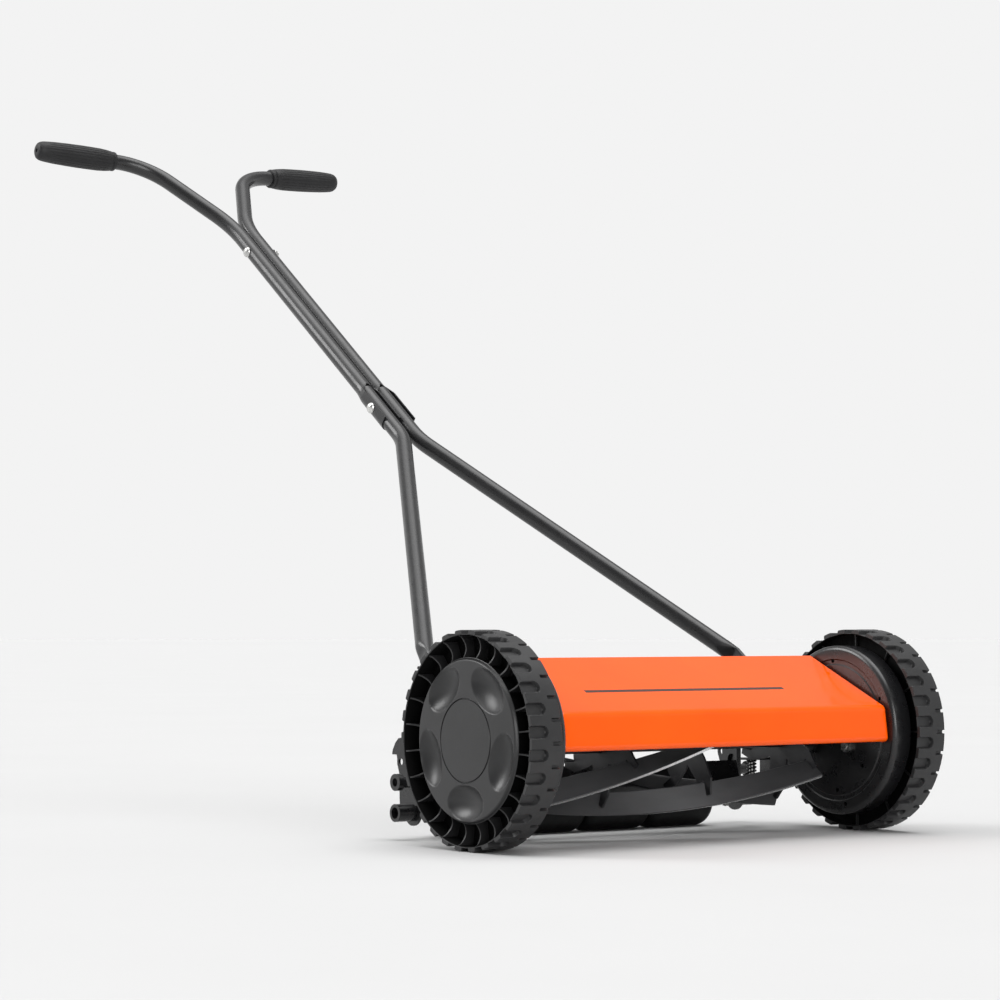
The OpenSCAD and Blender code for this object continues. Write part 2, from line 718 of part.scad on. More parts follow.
at_origin() reel_blade(1);  // reel_blade_1
at_origin() reel_blade(2);  // reel_blade_2
at_origin() reel_blade(3);  // reel_blade_3
at_origin() reel_blade(4);  // reel_blade_4
at_origin() reel_blade(5);  // reel_blade_5
both() pinion_key();  // pinion_keys
both() pinion_clip();  // pinion_clips
left() pinion();  // pinion_left
right() pinion();  // pinion_right
left() wheel();  // wheel_left
left() hub_cap();  // hub_cap_left
left() wheel_bush();  // wheel_bush_left
right() wheel();  // wheel_right
right() hub_cap();  // hub_cap_right
right() wheel_bush();  // wheel_bush_right
left() handle_lower();  // handle_lower_left
right() handle_lower();  // handle_lower_right
left() handle_upper();  // handle_upper_left
right() handle_upper();  // handle_upper_right
left() grip();  // grip_left
right() grip();  // grip_right
at_origin() handle_bolts();
at_origin() handle_nuts();
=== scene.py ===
"""Reel mower: the looks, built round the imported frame.

Lengths are in millimetres in that frame, unless they say otherwise: X across (+X is the operator's left),
Y backwards, towards the operator, and Z up from the ground. Angles called ..._TURN are in degrees.
"""

import json
import math

import bmesh
import bpy
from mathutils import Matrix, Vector


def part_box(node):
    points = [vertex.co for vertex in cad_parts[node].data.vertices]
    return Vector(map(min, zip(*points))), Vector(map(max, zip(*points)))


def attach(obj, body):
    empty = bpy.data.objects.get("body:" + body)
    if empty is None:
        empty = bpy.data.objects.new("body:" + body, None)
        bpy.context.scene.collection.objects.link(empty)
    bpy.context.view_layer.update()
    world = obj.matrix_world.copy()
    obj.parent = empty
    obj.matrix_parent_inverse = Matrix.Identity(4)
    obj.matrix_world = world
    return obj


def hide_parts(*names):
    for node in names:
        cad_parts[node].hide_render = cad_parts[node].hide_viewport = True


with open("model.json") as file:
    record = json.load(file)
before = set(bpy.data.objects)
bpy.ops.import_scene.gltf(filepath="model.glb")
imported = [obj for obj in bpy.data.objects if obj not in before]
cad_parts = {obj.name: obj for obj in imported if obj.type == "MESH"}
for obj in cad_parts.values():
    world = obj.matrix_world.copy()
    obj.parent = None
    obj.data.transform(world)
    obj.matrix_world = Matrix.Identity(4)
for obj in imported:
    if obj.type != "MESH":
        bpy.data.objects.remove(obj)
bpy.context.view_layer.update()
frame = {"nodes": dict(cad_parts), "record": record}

MM = 0.001
LEFT, RIGHT = 1, -1
SIDES = {LEFT: "left", RIGHT: "right"}

# ---------- where things are, from the frame ----------


def centre(node):
    low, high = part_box(node)
    return (low + high) / 2


def span(node, axis):
    low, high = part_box(node)
    return low[axis] / MM, high[axis] / MM


TREAD_W = 42.0
AXLE_Y = centre("hub_cap_left").y / MM
AXLE_Z = centre("hub_cap_left").z / MM
REEL_Y = centre("reel_shaft").y / MM
REEL_Z = centre("reel_shaft").z / MM
ROLLER_Y = centre("roller_axle").y / MM
ROLLER_Z = centre("roller_axle").z / MM
WHEEL_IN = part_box("wheel_left")[1].x / MM - TREAD_W
WHEEL_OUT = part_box("wheel_left")[1].x / MM
WHEEL_R = (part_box("wheel_left")[1].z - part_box("wheel_left")[0].z) / MM / 2
GEAR_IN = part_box("wheel_left")[0].x / MM
COVER_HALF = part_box("front_cover")[1].x / MM
REEL_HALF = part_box("reel_blade_1")[1].x / MM

# ---------- mesh tools ----------

MERGE_M, DEGENERATE_M = 1e-6, 1e-7


class Mesh:
    """Collects closed shells, in millimetres, and turns them into one piece."""

    def __init__(self):
        self.verts, self.faces, self.slots = [], [], []

    def add(self, verts, faces, slot=0):
        start = len(self.verts)
        self.verts.extend(verts)
        self.faces.extend([tuple(start + i for i in face) for face in faces])
        self.slots.extend([slot] * len(faces) if isinstance(slot, int) else slot)

    def grid(self, rows, wrap_rows=False, wrap_cols=True, slot=0):
        """Quads over a list of equally long rows of points."""
        n, m = len(rows), len(rows[0])
        faces = []
        for i in range(n if wrap_rows else n - 1):
            for j in range(m if wrap_cols else m - 1):
                a, b = i, (i + 1) % n
                c, d = j, (j + 1) % m
                faces.append((a * m + c, a * m + d, b * m + d, b * m + c))
        self.add([p for row in rows for p in row], faces, slot)

    def prism(self, outline, place, depth, slot=0):
        """An outline of 2D points carried from place(p, 0) to place(p, depth)."""
        n = len(outline)
        verts = [place(p, 0) for p in outline] + [place(p, depth) for p in outline]
        faces = [tuple(range(n)), tuple(range(2 * n - 1, n - 1, -1))]
        faces += [(i, (i + 1) % n, n + (i + 1) % n, n + i) for i in range(n)]
        self.add(verts, faces, slot)

    def lathe(self, profile, at=(0.0, 0.0), steps=96, slot=0):
        """A closed profile of (radius, x) points turned about the line through (y, z) along X."""
        rows = []
        for k in range(steps):
            a = math.tau * k / steps
            rows.append([(x, at[0] + r * math.cos(a), at[1] + r * math.sin(a)) for r, x in profile])
        self.grid(rows, wrap_rows=True, wrap_cols=True, slot=slot)

    def close_tube(self, start, n):
        """Flat ends on the newest shell, a tube of rings of n points whose first vertex is start."""
        end = len(self.verts)
        self.faces += [tuple(range(start, start + n)), tuple(range(end - n, end))]
        self.slots += [0, 0]

    def close_sheet(self, count, m):
        """Flat ends on a sheet of count rows of m points, each out along one skin and back along the other."""
        last = (count - 1) * m
        caps = [(j, j + 1, m - 2 - j, m - 1 - j) for j in range(m // 2 - 1)]
        self.faces += caps + [tuple(last + i for i in face) for face in caps]
        self.slots += [0] * (2 * len(caps))

    def piece(self, name, body, materials, slot, nodes=(), smooth=32, bevel=0.0):
        """Makes the piece, puts it under its body and hides the nodes it stands for; slot is not used; smooth is
        in degrees.
        """
        data = bpy.data.meshes.new(name)
        data.from_pydata([tuple(c * MM for c in v) for v in self.verts], [], self.faces)
        for material in materials:
            data.materials.append(material)
        data.polygons.foreach_set("material_index", self.slots)
        data.update()
        work = bmesh.new()
        work.from_mesh(data)
        bmesh.ops.remove_doubles(work, verts=work.verts, dist=MERGE_M)
        bmesh.ops.dissolve_degenerate(work, edges=work.edges, dist=DEGENERATE_M)
        bmesh.ops.recalc_face_normals(work, faces=work.faces)
        work.to_mesh(data)
        work.free()
        data.shade_smooth()
        data.set_sharp_from_angle(angle=math.radians(smooth))
        piece = bpy.data.objects.new(name, data)
        bpy.context.scene.collection.objects.link(piece)
        if bevel:
            soften(piece, bevel)
        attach(piece, body)
        if nodes:
            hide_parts(*nodes)
        return piece


def soften(piece, width, segments=2, angle=35):
    """Rounds the sharp edges a little, as real ones are."""
    bevel = piece.modifiers.new("rounded", "BEVEL")
    bevel.width = width * MM
    bevel.segments = segments
    bevel.limit_method = "ANGLE"
    bevel.angle_limit = math.radians(angle)
    bevel.harden_normals = True
    return bevel


def mirrored(points, side):
    return [(side * p[0], p[1], p[2]) for p in points]


def about_axle(x, r, angle):
    """A point on a circle round the wheel axle, its angle from straight up."""
    return (x, AXLE_Y + r * math.sin(angle), AXLE_Z + r * math.cos(angle))


def smoothstep(low, high, value):
    t = min(max((value - low) / (high - low), 0.0), 1.0)
    return t * t * (3 - 2 * t)


# ---------- materials ----------

GRAIN_M, PEEL_M = 0.0004, 0.0006
STRIPE_COLOUR = (0.075, 0.030, 0.018, 1)


def surface(name, dark, light, rough, rough_spread=0.06, blotch=9.0, grain=900.0, grain_depth=0.05,
            wave=0.0, wave_scale=60.0, stretch=(1, 1, 1), dust=0.0, dust_colour=(0.3, 0.29, 0.27), **sockets):
    """A procedural finish: mottled colour, uneven gloss, fine grain and, if asked, orange peel and dust."""
    material = bpy.data.materials.new(name)
    material.use_nodes = True
    nodes, links = material.node_tree.nodes, material.node_tree.links
    shader = nodes["Principled BSDF"]
    for socket, value in sockets.items():
        shader.inputs[socket.replace("_", " ")].default_value = value
    coords = nodes.new("ShaderNodeTexCoord")
    mapping = nodes.new("ShaderNodeMapping")
    mapping.inputs["Scale"].default_value = stretch
    links.new(coords.outputs["Object"], mapping.inputs["Vector"])

    def speckle(scale, detail, roughness=0.55):
        made = nodes.new("ShaderNodeTexNoise")
        made.inputs["Scale"].default_value = scale
        made.inputs["Detail"].default_value = detail
        made.inputs["Roughness"].default_value = roughness
        links.new(mapping.outputs["Vector"], made.inputs["Vector"])
        return made

    blotches = speckle(blotch, 5)
    ramp = nodes.new("ShaderNodeValToRGB")
    ramp.color_ramp.elements[0].position = 0.3
    ramp.color_ramp.elements[0].color = (*dark, 1)
    ramp.color_ramp.elements[1].position = 0.7
    ramp.color_ramp.elements[1].color = (*light, 1)
    links.new(blotches.outputs["Fac"], ramp.inputs["Fac"])
    colour = ramp.outputs["Color"]
    if dust:
        film = speckle(blotch * 4, 8, 0.7)
        amount = nodes.new("ShaderNodeMapRange")
        amount.inputs["From Min"].default_value = 0.55
        amount.inputs["From Max"].default_value = 0.8
        amount.inputs["To Max"].default_value = dust
        links.new(film.outputs["Fac"], amount.inputs["Value"])
        mix = nodes.new("ShaderNodeMix")
        mix.data_type = "RGBA"
        mix.inputs["B"].default_value = (*dust_colour, 1)
        links.new(amount.outputs["Result"], mix.inputs["Factor"])
        links.new(colour, mix.inputs["A"])
        colour = mix.outputs["Result"]
    links.new(colour, shader.inputs["Base Color"])

    sheen = speckle(blotch * 6, 6)
    gloss = nodes.new("ShaderNodeMapRange")
    gloss.inputs["From Min"].default_value = 0.3
    gloss.inputs["From Max"].default_value = 0.7
    gloss.inputs["To Min"].default_value = rough - rough_spread
    gloss.inputs["To Max"].default_value = rough + rough_spread
    links.new(sheen.outputs["Fac"], gloss.inputs["Value"])
    links.new(gloss.outputs["Result"], shader.inputs["Roughness"])

    fine = speckle(grain, 3)
    bump = nodes.new("ShaderNodeBump")
    bump.inputs["Strength"].default_value = grain_depth
    bump.inputs["Distance"].default_value = GRAIN_M
    links.new(fine.outputs["Fac"], bump.inputs["Height"])
    normal = bump
    if wave:
        peel = speckle(wave_scale, 2)
        second = nodes.new("ShaderNodeBump")
        second.inputs["Strength"].default_value = wave
        second.inputs["Distance"].default_value = PEEL_M
        links.new(peel.outputs["Fac"], second.inputs["Height"])
        links.new(bump.outputs["Normal"], second.inputs["Normal"])
        normal = second
    links.new(normal.outputs["Normal"], shader.inputs["Normal"])
    return material


WHEEL_PLASTIC = surface("wheel_plastic", (0.013, 0.013, 0.0135), (0.022, 0.022, 0.023), 0.47, 0.07,
                        blotch=14, grain=1400, grain_depth=0.22, dust=0.10, dust_colour=(0.06, 0.06, 0.058))
CAP_PLASTIC = surface("cap_plastic", (0.014, 0.014, 0.0145), (0.020, 0.020, 0.021), 0.36, 0.05,
                      blotch=10, grain=1800, grain_depth=0.16, dust=0.08, dust_colour=(0.06, 0.06, 0.058))
# Painted shade: a near-black copy of the wheel plastic, for the deep parts inside the wheel (the web, the ring
# behind the cap and the rim's inboard inside)
PAINTED_SHADE_PLASTIC = surface("painted_shade_plastic", (0.0012, 0.0012, 0.0012), (0.0028, 0.0028, 0.0028), 0.72, 0.05,
                         blotch=14, grain=1400, grain_depth=0.2, Specular_IOR_Level=0.12)
TUBE_PAINT = surface("tube_paint", (0.011, 0.011, 0.0115), (0.017, 0.017, 0.018), 0.30, 0.05,
                     blotch=12, grain=1500, grain_depth=0.05, wave=0.08, wave_scale=420, Coat_Weight=0.1,
                     Coat_Roughness=0.18)
ENAMEL = surface("black_enamel", (0.006, 0.006, 0.0065), (0.010, 0.010, 0.011), 0.29, 0.05,
                 blotch=9, grain=1200, grain_depth=0.04, wave=0.10, wave_scale=240, dust=0.10,
                 dust_colour=(0.030, 0.029, 0.028), Coat_Weight=0.12, Coat_Roughness=0.15)
SPIDER_PAINT = surface("spider_paint", (0.010, 0.010, 0.011), (0.022, 0.022, 0.024), 0.38, 0.08,
                       blotch=24, grain=900, grain_depth=0.12, dust=0.20, dust_colour=(0.06, 0.06, 0.058))
BLADE_STEEL = surface("blade_steel", (0.050, 0.050, 0.052), (0.085, 0.085, 0.088), 0.40, 0.07,
                      blotch=16, grain=700, grain_depth=0.12, stretch=(0.25, 1, 1), dust=0.15,
                      dust_colour=(0.05, 0.048, 0.046), Metallic=0.25)
GROUND_EDGE = surface("ground_edge", (0.55, 0.55, 0.56), (0.78, 0.78, 0.78), 0.24, 0.07,
                      blotch=60, grain=2600, grain_depth=0.3, stretch=(6, 1, 1), Metallic=1.0)
ZINC = surface("zinc_plate", (0.50, 0.50, 0.49), (0.72, 0.72, 0.70), 0.30, 0.08,
               blotch=90, grain=2400, grain_depth=0.18, Metallic=1.0)
DARK_STEEL = surface("dark_steel", (0.018, 0.018, 0.019), (0.045, 0.045, 0.047), 0.34, 0.08,
                     blotch=40, grain=1400, grain_depth=0.12, Metallic=0.55)
ROLLER_PLASTIC = surface("roller_plastic", (0.003, 0.003, 0.0033), (0.006, 0.006, 0.0064), 0.52, 0.08,
                         blotch=18, grain=1100, grain_depth=0.2, dust=0.08, dust_colour=(0.02, 0.02, 0.02),
                         Specular_IOR_Level=0.25)
GRIP_RUBBER = surface("grip_rubber", (0.009, 0.009, 0.0095), (0.015, 0.015, 0.016), 0.50, 0.06,
                      blotch=30, grain=2600, grain_depth=0.35, dust=0.10, dust_colour=(0.03, 0.03, 0.03),
                      Specular_IOR_Level=0.35)
INSIDE_COAT = surface("inside_coat", (0.010, 0.009, 0.009), (0.016, 0.015, 0.014), 0.5, 0.08,
                      blotch=20, grain=1200, grain_depth=0.1)

NODE_MATERIALS = {
    "black_paint": ENAMEL, "orange_paint": ENAMEL, "zinc": ZINC, "blade_steel": BLADE_STEEL,
    "dark_steel": DARK_STEEL, "wheel_plastic": WHEEL_PLASTIC, "cap_plastic": CAP_PLASTIC,
    "roller_plastic": ROLLER_PLASTIC, "grip_rubber": GRIP_RUBBER,
}


def orange_enamel():
    """Gloss orange enamel, with one plain dark stripe along the slope."""
    material = surface("orange_enamel", (0.96, 0.096, 0.0004), (1.0, 0.110, 0.0006), 0.13, 0.02,
                       blotch=7, grain=1500, grain_depth=0.03, wave=0.05, wave_scale=300,
                       Specular_IOR_Level=0.36)
    nodes, links = material.node_tree.nodes, material.node_tree.links
    shader = nodes["Principled BSDF"]
    paint = shader.inputs["Base Color"].links[0].from_socket
    place = nodes.new("ShaderNodeSeparateXYZ")
    links.new(nodes["Texture Coordinate"].outputs["Object"], place.inputs["Vector"])

    def within(socket, low, high):
        test = nodes.new("ShaderNodeMath")
        test.operation = "COMPARE"
        test.inputs[1].default_value = (low + high) / 2 * MM
        test.inputs[2].default_value = (high - low) / 2 * MM
        links.new(place.outputs[socket], test.inputs[0])
        return test.outputs["Value"]

    both = nodes.new("ShaderNodeMath")
    both.operation = "MULTIPLY"
    links.new(within("X", *STRIPE_X), both.inputs[0])
    links.new(within("Y", *STRIPE_Y), both.inputs[1])
    slope = nodes.new("ShaderNodeMath")
    slope.operation = "MULTIPLY"
    links.new(both.outputs["Value"], slope.inputs[0])
    links.new(within("Z", *STRIPE_Z), slope.inputs[1])
    mix = nodes.new("ShaderNodeMix")
    mix.data_type = "RGBA"
    mix.inputs["B"].default_value = STRIPE_COLOUR
    links.new(slope.outputs["Value"], mix.inputs["Factor"])
    links.new(paint, mix.inputs["A"])
    links.new(mix.outputs["Result"], shader.inputs["Base Color"])
    return material


# ---------- wheels ----------

TREAD_LUGS = 30
LUG_DEPTH = 4.6
STEPS_PER_LUG, STEPS_ACROSS = 34, 42
SLOT_HALF, SLOT_REACH = 0.27, 0.54  # of the pitch and of the tread's width
NOTCH_HALF, NOTCH_REACH = 2.0, 0.3  # in millimetres and of the tread's width
TREAD_EDGE = 0.8
RIM_T = 5.5
WEB_IN, WEB_T = WHEEL_IN + 16, 3
HUB_IN, HUB_OUT = GEAR_IN + 3, WHEEL_OUT - 12
BORE_R, HUB_R = 11, 17
RIBS, RIB_T, RIB_DIP = 24, 1.8, 8.5
BACK_RIBS, BACK_RIB_T, BACK_RIB_FROM = 12, 2, 70
RING_TEETH, GEAR_MODULE, RING_R = 60, 2.0, 67.5
PRESSURE_TURN = 25
CAP_R = 93.0
LATHE_STEPS = 160


def tread_depth(along, across):
    """How deep the tread is cut at a place: along in pitches, across from 0 at one edge to 1 at the other."""
    pitch = math.tau * WHEEL_R / TREAD_LUGS
    width = WHEEL_OUT - WHEEL_IN
    u = (along - round(along)) * pitch
    half, reach = pitch * SLOT_HALF, width * SLOT_REACH
    v = (1 - across) * width
    inside = abs(u) - half if v < reach - half else math.hypot(u, v - (reach - half)) - half
    pocket = 1 - smoothstep(-0.9, 0.1, inside)
    w = (along + 0.5 - round(along + 0.5)) * pitch
    x = across * width
    notch = 1 - smoothstep(-0.6, 0.2, max(abs(w) - NOTCH_HALF, x - width * NOTCH_REACH))
    return LUG_DEPTH * max(pocket, notch)


def tyre_rows(side):
    """Cross-sections of the rim all round, with the tread cut in, the same way round on both wheels."""
    def tread(along, across):
        return tread_depth(along, across if side == RIGHT else 1 - across)

    around = TREAD_LUGS * STEPS_PER_LUG
    inner = WHEEL_R - RIM_T
    width = WHEEL_OUT - WHEEL_IN
    rows = []
    for k in range(around):
        along = k / STEPS_PER_LUG
        a = math.tau * k / around
        row = [(inner, WHEEL_IN + 0.6), (inner + 0.6, WHEEL_IN)]
        row.append((WHEEL_R - TREAD_EDGE - tread(along, 0.0), WHEEL_IN))
        for j in range(STEPS_ACROSS + 1):
            across = j / STEPS_ACROSS
            x = WHEEL_IN + TREAD_EDGE + (width - 2 * TREAD_EDGE) * across
            row.append((WHEEL_R - tread(along, across), x))
        row.append((WHEEL_R - TREAD_EDGE - tread(along, 1.0), WHEEL_OUT))
        row += [(inner + 0.9, WHEEL_OUT), (inner, WHEEL_OUT - 0.9), (inner, WEB_IN + WEB_T), (inner, WEB_IN)]
        rows.append([about_axle(x, r, a) for r, x in row])
    return rows


def involute(angle):
    return math.tan(angle) - angle


def gear_outline(teeth, module, steps, addendum, dedendum):
    """Points (radius, angle) round the involute flanks of the gaps of a ring gear."""
    pitch_r = module * teeth / 2
    pressure = math.radians(PRESSURE_TURN)
    base = pitch_r * math.cos(pressure)
    points = []
    for tooth in range(teeth):
        mid = math.tau * tooth / teeth
        flank = []
        for i in range(steps + 1):
            r = pitch_r - dedendum + (addendum + dedendum) * i / steps
            t = math.acos(base / r) if r > base else 0.0
            half = math.pi / 2 / teeth + involute(pressure) - involute(t)
            flank.append((r, half))
        points += [(r, mid - half) for r, half in flank] + [(r, mid + half) for r, half in reversed(flank)]
    return points


def ring_gear(mesh):
    """The internal ring gear, with its gaps where the pinion's teeth go."""
    start = math.atan2(REEL_Z - AXLE_Z, REEL_Y - AXLE_Y)
    inner = gear_outline(RING_TEETH, GEAR_MODULE, steps=4, addendum=2.2, dedendum=1.6)
    outer = [(RING_R, a) for r, a in inner]

    def ring(x, outline):
        return [(x, AXLE_Y + r * math.cos(a + start), AXLE_Z + r * math.sin(a + start)) for r, a in outline]

    rows = [ring(x, inner) for x in (GEAR_IN, GEAR_IN + 0.01, WEB_IN + 1)]
    rows += [ring(x, outer) for x in (WEB_IN + 1, GEAR_IN)]
    mesh.grid(rows, wrap_rows=True, wrap_cols=True)


def rib_outline():
    """One rib between the cap and the rim: its outer edge dips between its two ends."""
    inner, outer = CAP_R - 3, WHEEL_R - RIM_T + 0.6
    top = WHEEL_OUT - 3.5
    points = [(inner, WEB_IN + 1), (inner, top)]
    for k in range(1, 12):
        t = k / 12
        points.append((inner + (outer - inner) * t, top - RIB_DIP * math.sin(math.pi * t) ** 0.8))
    return points + [(outer, top + 2), (outer, WEB_IN + 1)]


def rib(mesh, outline, angle, thickness):
    """A flat rib in a plane through the axle, from an outline of (radius, x) points."""
    out = (math.sin(angle), math.cos(angle))
    across = (math.cos(angle), -math.sin(angle))

    def place(p, t):
        return (p[1], AXLE_Y + out[0] * p[0] + across[0] * (t - thickness / 2),
                AXLE_Z + out[1] * p[0] + across[1] * (t - thickness / 2))

    mesh.prism(outline, place, thickness)


def wheel(side):
    """The moulded wheel: tread and rim, web, hub, ring gear, and the ribs in front of and behind the web. The
    web, the ring behind the cap's edge and the rim's inboard inside are given painted shade: a near-black copy
    of the plastic.
    """
    mesh = Mesh()
    rows = tyre_rows(side)
    columns = len(rows[0])
    # Painted shade: these two faces of each rim section, under and inboard of the web, take the near-black copy
    # of the plastic
    painted_shade_faces = (columns - 3, columns - 1)
    slots = [int(j in painted_shade_faces) for j in range(columns)] * len(rows)
    mesh.grid(rows, wrap_rows=True, wrap_cols=True, slot=slots)
    at = (AXLE_Y, AXLE_Z)
    rim = WHEEL_R - RIM_T + 0.4
    web_from = HUB_R - 1
    # The web and the ring behind the cap take slot 1, the painted shade copy of the plastic
    mesh.lathe([(web_from, WEB_IN), (rim, WEB_IN), (rim, WEB_IN + WEB_T), (web_from, WEB_IN + WEB_T)],
               at, LATHE_STEPS, slot=1)
    mesh.lathe([(CAP_R - 5, WEB_IN + 2), (CAP_R - 2, WEB_IN + 2), (CAP_R - 2, WHEEL_OUT - 6),
                (CAP_R - 5, WHEEL_OUT - 6)], at, LATHE_STEPS, slot=1)
    mesh.lathe([(BORE_R, HUB_IN), (HUB_R - 1, HUB_IN), (HUB_R, HUB_IN + 1), (HUB_R, HUB_OUT - 1),
                (HUB_R - 1, HUB_OUT), (BORE_R, HUB_OUT)], at, 64)
    ring_gear(mesh)
    outline = rib_outline()
    for k in range(RIBS):
        rib(mesh, outline, math.tau * (k + 0.5) / RIBS, RIB_T)
    outline = [(BACK_RIB_FROM, WEB_IN + 1), (rim, WEB_IN + 1), (rim, WEB_IN - 4), (BACK_RIB_FROM, WEB_IN - 1)]
    for k in range(BACK_RIBS):
        rib(mesh, outline, math.tau * k / BACK_RIBS, BACK_RIB_T)
    mesh.verts = mirrored(mesh.verts, side)
    name = "wheel_" + SIDES[side]
    return mesh.piece(name + "_moulding", name, [WHEEL_PLASTIC, PAINTED_SHADE_PLASTIC], "wheel_plastic", [name],
                      smooth=38)


# Hub cap: scoops round a plain middle, a fine groove between them, and the skin behind
CAP_SCOOPS = 5
DIMPLE_AT = 69.6
DIMPLE_LONG, DIMPLE_WIDE, DIMPLE_DEEP = 33.0, 20.5, 10.0
CAP_SKIN = 2.2
CAP_RINGS, CAP_AROUND = 96, 300
GROOVE_R = 46.9


def cap_height(r, angle):
    """Distance of the cap's face in from the outermost plane, at a radius and an angle from straight down."""
    dome = 0.2 + 1.6 * (r / CAP_R) ** 2
    rim = 3.6 * smoothstep(CAP_R - 3.5, CAP_R, r) ** 1.5
    groove = 1.5 * (1 - smoothstep(0.45, 0.95, abs(r - GROOVE_R)))
    dip = 0.0
    for k in range(CAP_SCOOPS):
        a = angle - math.tau * k / CAP_SCOOPS
        along, out = r * math.sin(a), r * math.cos(a) - DIMPLE_AT
        if r * math.cos(a) < 0:
            continue
        q = math.hypot(along / DIMPLE_LONG, out / DIMPLE_WIDE)
        if q < 1.06:
            bowl = DIMPLE_DEEP * max(0.0, 1 - q * q) ** 0.8
            dip = max(dip, bowl * (1 - smoothstep(0.97, 1.06, q) * 0.6))
    return dome + rim + groove + dip


def hub_cap(side):
    """The dished cap: its face from the middle out, its rim, and its back from the rim in."""
    radii = [0.01] + [CAP_R * k / CAP_RINGS for k in range(1, CAP_RINGS)]
    radii += [GROOVE_R + d for d in (-1.0, -0.75, -0.5, 0.5, 0.75, 1.0)]
    radii += [CAP_R - d for d in (2.4, 1.6, 0.8, 0.3, 0)]
    radii = sorted(set(round(r, 3) for r in radii))

    def ring(r, height):
        """A ring of points; height(r, angle) is how far in from the outermost plane each one lies."""
        return [(WHEEL_OUT - height(r, a), AXLE_Y + r * math.sin(a), AXLE_Z - r * math.cos(a))
                for a in (math.tau * k / CAP_AROUND for k in range(CAP_AROUND))]

    rows = [ring(r, cap_height) for r in radii]
    rows.append(ring(CAP_R, lambda r, a: 5.8))
    rows.append(ring(CAP_R - CAP_SKIN, lambda r, a: 6))
    for r in reversed([r for r in radii if r < CAP_R - CAP_SKIN - 1]):
        rows.append(ring(r, lambda r, a: cap_height(r, a) + CAP_SKIN))
    mesh = Mesh()
    mesh.grid(rows, wrap_rows=True, wrap_cols=True)
    mesh.verts = mirrored(mesh.verts, side)
    node = "hub_cap_" + SIDES[side]
    return mesh.piece(node + "_moulding", "wheel_" + SIDES[side], [CAP_PLASTIC], "cap_plastic", [node],
                      smooth=50)


# ---------- front cover ----------

COVER_TOP = (AXLE_Y + 38.5, 215.4)
COVER_BEND = (AXLE_Y - 90.9, 155.3)
COVER_FOOT = (AXLE_Y - 96.6, 113.4)
COVER_BEND_R, COVER_FOOT_R, COVER_FOOT_TURN = 9.0, 6.0, 115
COVER_ROLL, COVER_FLANGE = 6.0, 1.6  # the curl at the two ends, and the straight beyond it
COVER_SKIN = 1.3
STRIPE_X = (-178, 126)
STRIPE_Y = (AXLE_Y - 45.2, AXLE_Y - 39.4)
STRIPE_Z = (150, 215)


def inward(way):
    """Square to a way along the cover's outside line, towards the reel."""
    return Vector((-way.y, way.x))


def cover_path():
    """The cover's outside line from its top edge to its rolled foot.

    Each point comes with the way its ends curl in and the way its skin thickens.
    """
    top, bend_at, foot = (Vector(p) for p in (COVER_TOP, COVER_BEND, COVER_FOOT))
    slope, face = (bend_at - top).normalized(), (foot - bend_at).normalized()
    half = slope.angle(face) / 2
    run = COVER_BEND_R * math.tan(half)
    start, end = bend_at - slope * run, bend_at + face * run
    bend_mid = start + inward(slope) * COVER_BEND_R
    stop = foot - face * COVER_FOOT_R
    foot_mid = stop + inward(face) * COVER_FOOT_R

    def round_points(mid, radius, way, turn, steps, stop_at):
        """Points round a fold that starts along a way, with their outward directions."""
        start_angle = math.atan2(-inward(way).y, -inward(way).x)
        for k in range(1, stop_at):
            a = start_angle + turn * k / steps
            out = Vector((math.cos(a), math.sin(a)))
            yield mid + out * radius, out

    path = [(top.lerp(start, k / 24), inward(slope), inward(slope)) for k in range(25)]
    path += [(p, -out, -out) for p, out in round_points(bend_mid, COVER_BEND_R, slope, 2 * half, 12, 12)]
    path += [(end.lerp(stop, k / 10), inward(face), inward(face)) for k in range(11)]
    foot_turn = math.radians(COVER_FOOT_TURN)
    path += [(p, inward(face), -out)
             for p, out in round_points(foot_mid, COVER_FOOT_R, face, foot_turn, 12, 13)]
    return path


def cover():
    """The bent sheet, enamelled outside and dark inside, with its ends curled in."""
    path = cover_path()
    flat_half = COVER_HALF - COVER_ROLL
    curl = [math.radians(a) for a in range(9, 90, 9)]
    ends = [(-flat_half - COVER_ROLL * math.cos(a), COVER_ROLL * (1 - math.sin(a))) for a in curl]
    columns = [(-COVER_HALF, COVER_ROLL + COVER_FLANGE), (-COVER_HALF, COVER_ROLL)] + ends
    columns += [(-flat_half + 2 * flat_half * k / 40, 0.0) for k in range(41)]
    columns += [(-x, inset) for x, inset in reversed(ends)]
    columns += [(COVER_HALF, COVER_ROLL), (COVER_HALF, COVER_ROLL + COVER_FLANGE)]
    outside = [[(x, p.x + n.x * inset, p.y + n.y * inset) for x, inset in columns] for p, n, m in path]
    shrink = 1 - COVER_SKIN / COVER_HALF
    inside = [[(x * shrink, p.x + n.x * inset + m.x * COVER_SKIN, p.y + n.y * inset + m.y * COVER_SKIN)
               for x, inset in columns] for p, n, m in path]
    rows = [outer + list(reversed(inner)) for outer, inner in zip(outside, inside)]
    mesh = Mesh()
    m = len(rows[0])
    skin = [0 if j < m // 2 else 1 for j in range(m)]
    mesh.grid(rows, wrap_cols=True, slot=skin * (len(rows) - 1))
    mesh.close_sheet(len(rows), m)
    return mesh.piece("cover_sheet", "chassis", [orange_enamel(), INSIDE_COAT], "orange_paint",
                      ["front_cover"], smooth=40)


# ---------- handle ----------

SLOPE = math.radians(37.37)
HANDLE_Y, HANDLE_Z = AXLE_Y + 203.9, 235.5
TUBE_R, TUBE_AROUND = 11.0, 40
BOLT_S = (513.0, 917.0)
